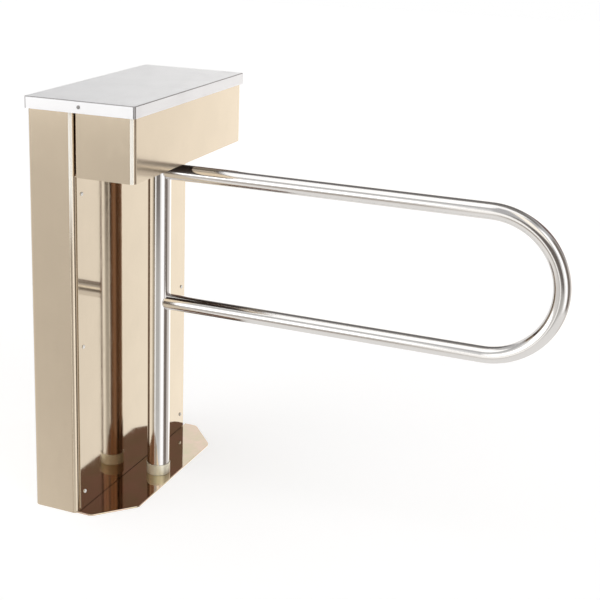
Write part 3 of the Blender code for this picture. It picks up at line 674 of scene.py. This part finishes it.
def build_lid():
    """The folded cover: a flat top, and a rim whose corners are welded and ground round."""
    low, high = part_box("lid")

    def loop(inset, height, radius):
        corners = [
            (low.x + inset, low.y + inset), (high.x - inset, low.y + inset),
            (high.x - inset, high.y - inset), (low.x + inset, high.y - inset),
        ]
        outline = fillet(corners, max(radius, 0.0003), BEND_STEPS, closed=True)
        return [(x, y, height) for x, y in outline]

    def wall(inset, top, bend):
        rings = [loop(inset, low.z, LID_BEND - inset)]
        for i in range(BEND_STEPS + 1):
            turn = math.pi / 2 * i / BEND_STEPS
            inward = inset + bend * (1 - math.cos(turn))
            rings.append(loop(inward, top - bend * (1 - math.sin(turn)), LID_BEND - inward))
        return rings

    outer = wall(0, high.z, TOP_BEND)
    inner = wall(SHEET, high.z - SHEET, TOP_BEND - SHEET)
    shell = make_object("lid_look", loft(inner[::-1] + outer), MATERIALS["lid_steel"])
    lock_hole = 0.0038
    hole = turned_over(revolve(rod_profile(lock_hole, -THROUGH, THROUGH), 48), ALONG_Y)
    carve(shell, turned_over(hole, Matrix.Translation(lid_lock_axis())))
    # The folds and corners take the dark grey finish, painted shade along the lid's edges.
    shell.data.materials.append(LID_FOLD_SHADE)
    for face in shell.data.polygons:
        if max(abs(part) for part in face.normal) < 0.999:      # only the folds and corners
            face.material_index = 1
    stand_for("lid", shell)


def build_lid_lock():
    """The quarter-turn lock: a slotted barrel in the rim, and its tongue behind the wall."""
    axis = lid_lock_axis()
    low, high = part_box("lid_lock")
    face = low.y - axis.y
    flange = 0.0042
    barrel = 0.0035
    back = 0.0085
    profile = [
        (0, face), (flange - 0.0008, face), (flange - 0.0002, face + 0.0003),
        (flange, face + 0.0007), (flange, -GAP), (barrel, -GAP), (barrel, back - 0.0005),
        (barrel - 0.0005, back), (0, back),
    ]
    lock = make_object("lid_lock_look", turned_over(revolve(profile, 64), ALONG_Y), LOCK_STEEL)
    long = 0.0028       # half the length, half the width and the depth of the key's slot
    wide = 0.0005
    deep = 0.0009
    carve(lock, block(-long, long, face - THROUGH / 5, face + deep, -wide, wide))
    lock.data.transform(Matrix.Translation(axis))
    stand_for("lid_lock", lock)

    # The tongue, seen along Y.
    tongue = [
        (-0.0025, -0.003), (0.0105, -0.003), (high.x - axis.x, -0.0012),
        (high.x - axis.x, 0.003), (-0.0025, 0.003),
    ]
    start = back + 0.0001
    bm = loft([[(x, y, z) for x, z in tongue] for y in (start, high.y - axis.y)])
    tongue_piece = make_object("lid_lock_tongue", bm, MATERIALS["inner_steel"])
    tongue_piece.data.transform(Matrix.Translation(axis))
    add_to("lid_lock", tongue_piece, 0.0003)


def button_screw(head_radius, head_height, shank_radius, length, socket):
    """A button-head screw up Z with its seat at 0, a threaded shank and a hexagon socket."""
    dome = [
        (head_radius * math.cos(a), head_height * (0.25 + 0.75 * math.sin(a)))
        for a in (math.radians(9 * i) for i in range(8))
    ]
    pitch = 0.0007
    thread = []
    height = -length + 0.0006
    while height < -0.0008:
        thread += [(shank_radius - 0.0003, height), (shank_radius, height + pitch / 2)]
        height += pitch
    profile = [(0, -length), (shank_radius - 0.0006, -length), *thread]
    profile += [(shank_radius, 0), (head_radius, 0), *dome, (0, head_height)]
    screw = make_object("screw", revolve(profile, 48), MATERIALS["screw_steel"])
    carve(screw, prism(circle(socket, 6), head_height * 0.65, head_height + THROUGH))
    return take_mesh(screw)


def build_panel_screws():
    """Six screws of one mesh, each turned to where it happened to come tight."""
    low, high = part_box("panel_screw_1")
    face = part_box("access_panel")[1].x + GAP
    radius = (high.y - low.y) / 2
    mesh = button_screw(radius, high.x - face, 0.002, face - low.x, 0.0012)
    mesh.transform(ALONG_X)
    for number in range(1, 7):
        low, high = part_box(f"panel_screw_{number}")
        middle = (low + high) / 2
        screw = show_copy(f"panel_screw_{number}_look", mesh)
        screw.location = (face, middle.y, middle.z)
        screw.rotation_euler.x = math.radians(17 * number)
        stand_for(f"panel_screw_{number}", screw)


def build_collar():
    """The thin ring round the post's foot, with one turned groove."""
    low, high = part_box("floor_collar")
    radius = (high.x - low.x) / 2
    play = 0.0006       # between the post and the ring
    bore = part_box("post_tube")[1].x + play
    edge = 0.0007
    top = [(x, z) for x, z in arc(edge, 0, math.pi / 2, 5, (radius - edge, high.z - edge))]
    groove = high.z - 0.0045
    profile = [
        (bore, low.z), (radius - 0.0003, low.z), (radius, low.z + 0.0003),
        (radius, groove - 0.0005), (radius - 0.0003, groove), (radius, groove + 0.0005),
        *top, (bore, high.z),
    ]
    collar = make_object("floor_collar_look", revolve(profile, ROUND), MATERIALS["brass_collar"])
    stand_for("floor_collar", collar)


# --- gate ---------------------------------------------------------------------------------

def build_post():
    """The post's tube. Returns its radius."""
    low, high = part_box("post_tube")
    radius = high.x
    edge = 0.0003
    profile = [
        (radius - POST_WALL, low.z), (radius - edge, low.z), (radius, low.z + edge),
        (radius, high.z - edge), (radius - edge, high.z), (radius - POST_WALL, high.z),
    ]
    post = make_object("post_tube_look", revolve(profile, ROUND), MATERIALS["satin_tube"])
    stand_for("post_tube", post)
    return radius


def build_arm(post_radius):
    """One tube bent into a hairpin, with its ends coped to the post and welded to it."""
    low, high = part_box("arm_tube")
    radius = (high.y - low.y) / 2
    upper = high.z - radius
    lower = low.z + radius
    bend = (upper - lower) / 2
    bend_x = high.x - radius - bend
    line = [(0, upper), *arc(bend, math.pi / 2, -math.pi / 2, 72, (bend_x, lower + bend))]
    line.append((0, lower))
    path = [(x, 0, z) for x, z in line]
    seat = post_radius + GAP

    def coped(rings):
        for ring in (rings[0], rings[-1]):
            for point in ring:
                point.x = math.sqrt(seat ** 2 - point.y ** 2)
        return rings

    outer = coped(tube_rings(path, radius, 96))
    inner = coped(tube_rings(path, radius - ARM_WALL, 96))
    bm = loft(outer + inner[::-1], closed=True)
    stand_for("arm_tube", make_object("arm_tube_look", bm, MATERIALS["satin_tube"]))

    bead = 0.0010
    for name, height in (("upper", upper), ("lower", lower)):
        seam = []
        for y, z in circle(radius + bead * 0.3, 96):
            out = math.sqrt(post_radius ** 2 - min(y * y, post_radius ** 2 * 0.98))
            seam.append((out + bead * 0.3, y, height + z))
        rings = tube_rings(seam + seam[:2], bead, 10)[1:-1]
        weld = make_object(f"arm_weld_{name}", loft(rings, closed=True), MATERIALS["satin_tube"])
        add_to("arm_tube", weld)


# --- pieces inside ------------------------------------------------------------------------

def build_return_spring():
    """The torsion spring, with its straight lower leg and its coils round the bearing."""
    radius = 0.031
    wire = 0.0018
    pitch = 0.0040
    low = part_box("return_spring")[0].z + wire
    start = math.radians(20)
    turns = 4 + (math.radians(135) - start) / (2 * math.pi)
    leg = Vector((math.sin(start), -math.cos(start), 0))
    first = Vector((radius * math.cos(start), radius * math.sin(start), low))
    leg_length = 0.0159
    bend_start = 0.006
    path = [first + leg * reach for reach in (leg_length, bend_start)]
    steps = int(turns * 48)
    for i in range(steps + 1):
        angle = start + turns * 2 * math.pi * i / steps
        height = low + pitch * turns * i / steps
        path.append((radius * math.cos(angle), radius * math.sin(angle), height))
    coil = loft(tube_rings(path, wire, 16))
    stand_for("return_spring", make_object("return_spring_look", coil, MATERIALS["spring_steel"]))


def build_upper_bearing():
    """A sealed ball bearing: two rings, and a shield set in between on each side."""
    low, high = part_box("upper_bearing")
    outer = high.x
    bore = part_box("spindle")[1].x + GAP
    edge = 0.0004
    inner_ring = bore + 0.0014
    outer_ring = outer - 0.0016
    recess = 0.0006
    half = [
        (bore, -edge), (bore + edge, 0), (inner_ring, 0), (inner_ring, -recess),
        (outer_ring, -recess), (outer_ring, 0), (outer - edge, 0), (outer, -edge),
    ]
    top = [(r, high.z + z) for r, z in half]
    bottom = [(r, low.z - z) for r, z in half]
    bm = revolve(top + bottom[::-1], 96)
    bearing = make_object("upper_bearing_look", bm, MATERIALS["inner_steel"])
    stand_for("upper_bearing", bearing)


def build_bearing_bolts():
    """Socket cap screws, with a hexagon socket in a plain round head."""
    low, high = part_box("bearing_bolt_1")
    head = (high.x - low.x) / 2
    shank = 0.0025
    seat = high.z - 0.0050
    profile = [
        (0, low.z), (shank - 0.0004, low.z), (shank, low.z + 0.0005), (shank, seat), (head, seat),
        (head, high.z - 0.0005), (head - 0.0005, high.z), (0, high.z),
    ]
    cap = make_object("bolt", revolve(profile, 48), MATERIALS["inner_steel"])
    carve(cap, prism(circle(0.0022, 6), high.z - 0.0028, high.z + THROUGH))
    mesh = take_mesh(cap)
    for number in range(1, 5):
        start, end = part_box(f"bearing_bolt_{number}")
        bolt = show_copy(f"bearing_bolt_{number}_look", mesh)
        bolt.location = ((start.x + end.x) / 2, (start.y + end.y) / 2, 0)
        bolt.rotation_euler.z = math.radians(23 * number)
        stand_for(f"bearing_bolt_{number}", bolt)


def build_anchor_bolts():
    """Threaded studs, each with a washer and a chamfered nut."""
    low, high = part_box("anchor_bolt_1")
    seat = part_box("floor_plate")[1].z + GAP
    stud = 0.005
    washer = (high.x - low.x) / 2
    nut_low = seat + 0.002
    nut_high = seat + 0.010
    profile = [
        (0, low.z), (stud, low.z), (stud, seat), (washer - 0.0002, seat),
        (washer, seat + 0.0002), (washer, nut_low - 0.0002), (washer - 0.0002, nut_low),
        (stud, nut_low), (stud, nut_high),
    ]
    height = nut_high
    while height < high.z - 0.0018:
        profile += [(stud, height + 0.0002), (stud - 0.0006, height + 0.0009)]
        height += 0.0015
    profile += [(stud - 0.0009, high.z), (0, high.z)]
    steel = MATERIALS["inner_steel"]
    stud_mesh = take_mesh(make_object("stud", revolve(profile, 48), steel))
    nut = make_object("nut", prism(circle(0.0092, 6), nut_low, nut_high), steel)
    bore = revolve(rod_profile(stud + 0.00005, 0, 0.1), 48)
    rim = [
        (0.0083, nut_high + 0.001), (0.03, nut_high + 0.001), (0.03, nut_high - 0.003),
        (0.0095, nut_high - 0.0005),
    ]
    carve(nut, bore, revolve(rim, 48))
    nut_mesh = take_mesh(nut)
    for number in range(1, 5):
        start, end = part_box(f"anchor_bolt_{number}")
        place = ((start.x + end.x) / 2, (start.y + end.y) / 2, 0)
        anchor = show_copy(f"anchor_bolt_{number}_look", stud_mesh)
        anchor.location = place
        stand_for(f"anchor_bolt_{number}", anchor)
        nut = show_copy(f"anchor_nut_{number}", nut_mesh)
        nut.location = place
        nut.rotation_euler.z = math.radians(13 * number)
        add_to(f"anchor_bolt_{number}", nut)


def finish_carried_nodes():
    """Every CAD node that still shows gets its material, and edges that catch the light."""
    fine = ("gear_sector", "damper_pinion", "flag_disc")
    for name, node in NODES.items():
        if node.hide_render:
            continue
        node.data.materials.clear()
        node.data.materials.append(MATERIALS[SLOTS[name]])
        weld = node.modifiers.new("closed_edges", "WELD")
        weld.merge_threshold = 0.00001
        soften(node, FINE_EDGE if name in fine else INNER_EDGE)


# --- studio -------------------------------------------------------------------------------

def light_studio():
    """A soft studio as the surfaces see it: pale floor, softboxes, and darker gaps between.

    Each panel is (middle azimuth, half width, lowest and highest elevation, softness, light),
    in degrees. Azimuth 0 is +X and -90 is the side of the cabinet's narrow front. A later
    panel covers an earlier one.
    """
    world = bpy.data.worlds.new("studio")
    SCENE.world = world
    world.use_nodes = True
    graph = Graph(world.node_tree)
    world.node_tree.nodes.clear()

    direction = graph.node("ShaderNodeTexCoord").outputs["Generated"]
    split = graph.node("ShaderNodeSeparateXYZ", {0: direction})
    x, y, height = split.outputs
    flat = graph.node("ShaderNodeCombineXYZ", {0: x, 1: y})
    heading = graph.node("ShaderNodeVectorMath", {0: flat.outputs[0]}, operation="NORMALIZE")

    def window(low, high, soft):
        rise = graph.ramp(
            height, math.sin(math.radians(low - soft)), math.sin(math.radians(low + soft)),
            smooth=True,
        )
        fall = graph.ramp(
            height, math.sin(math.radians(high - soft)), math.sin(math.radians(high + soft)),
            1.0, 0.0, smooth=True,
        )
        return graph.math("MULTIPLY", rise, fall)

    def sector(middle, half, soft):
        towards = graph.node(
            "ShaderNodeVectorMath", {0: heading.outputs[0]}, operation="DOT_PRODUCT"
        )
        angle = math.radians(middle)
        towards.inputs[1].default_value = (math.cos(angle), math.sin(angle), 0)
        return graph.ramp(
            towards.outputs["Value"],
            math.cos(math.radians(half + soft)), math.cos(math.radians(max(half - soft, 0))),
            smooth=True,
        )

    light = (0.86, 0.85, 0.84)
    panels = (
        (0, 180, 4, 84, 3, (0.50, 0.50, 0.51)),
        (0, 180, 62, 89, 4, (1.20, 1.20, 1.21)),
        (70, 85, 52, 89, 4, (0.24, 0.23, 0.22)),
        (48, 14, -45, 2, 8, (0.90, 0.88, 0.87)),
        (114, 50, -36, 31, 6, (1.36, 1.34, 1.31)),
        (114, 50, 16, 31, 4, (0.98, 0.98, 0.97)),
        (152, 32, -36, 31, 8, (0.84, 0.84, 0.84)),
        (108, 40, 32, 60, 3, (0.16, 0.15, 0.15)),
        (-138, 20, -34, 0, 4, (0.71, 0.69, 0.67)),
        (-138, 20, -50, -26, 6, (0.90, 0.88, 0.86)),
        (-106, 12, -50, -35, 4, (0.80, 0.78, 0.76)),
        (-106, 12, -35, -21, 4, (0.38, 0.33, 0.28)),
        (-106, 12, -21, -8, 3, (0.60, 0.59, 0.58)),
        (-131, 27, -8, 17, 3, (1.95, 1.95, 1.95)),
        (-131, 27, 17, 30, 3, (0.85, 0.85, 0.85)),
        (-131, 27, 30, 43, 3, (0.50, 0.50, 0.50)),
        (-131, 27, 43, 84, 4, (1.30, 1.30, 1.30)),
        (-100, 4, -32, 2, 3, (1.20, 1.19, 1.17)),
        (-75, 19, -17, 14, 3, (0.16, 0.14, 0.13)),
        (-65, 14, 18, 62, 3, (1.20, 1.14, 1.04)),
        (-75, 19, -26, -17, 3, (0.50, 0.49, 0.47)),
        (-29, 14, -28, 46, 3, (1.30, 1.30, 1.32)),
        (8, 18, -30, 36, 4, (0.20, 0.17, 0.15)),
        (39, 12, -45, 4, 4, (0.66, 0.62, 0.59)),
        (58, 18, 7, 40, 5, (0.20, 0.145, 0.135)),
        (58, 18, 29, 42, 3, (0.13, 0.075, 0.070)),
    )
    for middle, half, low, high, soft, shine in panels:
        mask = window(low, high, soft)
        if half < 180:
            mask = graph.math("MULTIPLY", mask, sector(middle, half, soft))
        light = graph.mix(mask, light, shine)

    # Light that has passed between the mirrors more than twice comes out dim and brown.
    path = graph.node("ShaderNodeLightPath")
    deep = graph.math("GREATER_THAN", path.outputs["Glossy Depth"], 2.5)
    brown = (0.28, 0.18, 0.14)
    light = graph.mix(deep, light, graph.mix(1.0, light, brown, "MULTIPLY"))
    # The backdrop itself is white.
    light = graph.mix(path.outputs["Is Camera Ray"], light, (1.0, 1.0, 1.0))
    background = graph.node("ShaderNodeBackground", {"Color": light, "Strength": 1.0})
    out = graph.node("ShaderNodeOutputWorld")
    graph.set(out.inputs["Surface"], background.outputs[0])
    SCENE.view_settings.view_transform = "Standard"


def lay_floor():
    """A matt floor that glows up to white, and that the polished metal doesn't reflect."""
    bm = bmesh.new()
    bmesh.ops.create_grid(bm, x_segments=1, y_segments=1, size=12)
    mat, graph, shader = new_material("pale_floor", (0.62, 0.62, 0.62), 0.9, 0.0)
    shader.inputs["Specular IOR Level"].default_value = 0.0
    shader.inputs["Emission Color"].default_value = (1, 1, 1, 1)
    shader.inputs["Emission Strength"].default_value = 0.62
    floor = make_object("floor", bm, mat)
    floor.location.z = -0.0004
    floor.visible_glossy = False


place_camera()
light_studio()
lay_floor()
build_column()
build_head()
build_lid()
build_lid_lock()
build_panel_screws()
build_collar()
build_arm(build_post())
build_return_spring()
build_upper_bearing()
build_bearing_bolts()
build_anchor_bolts()
finish_carried_nodes()
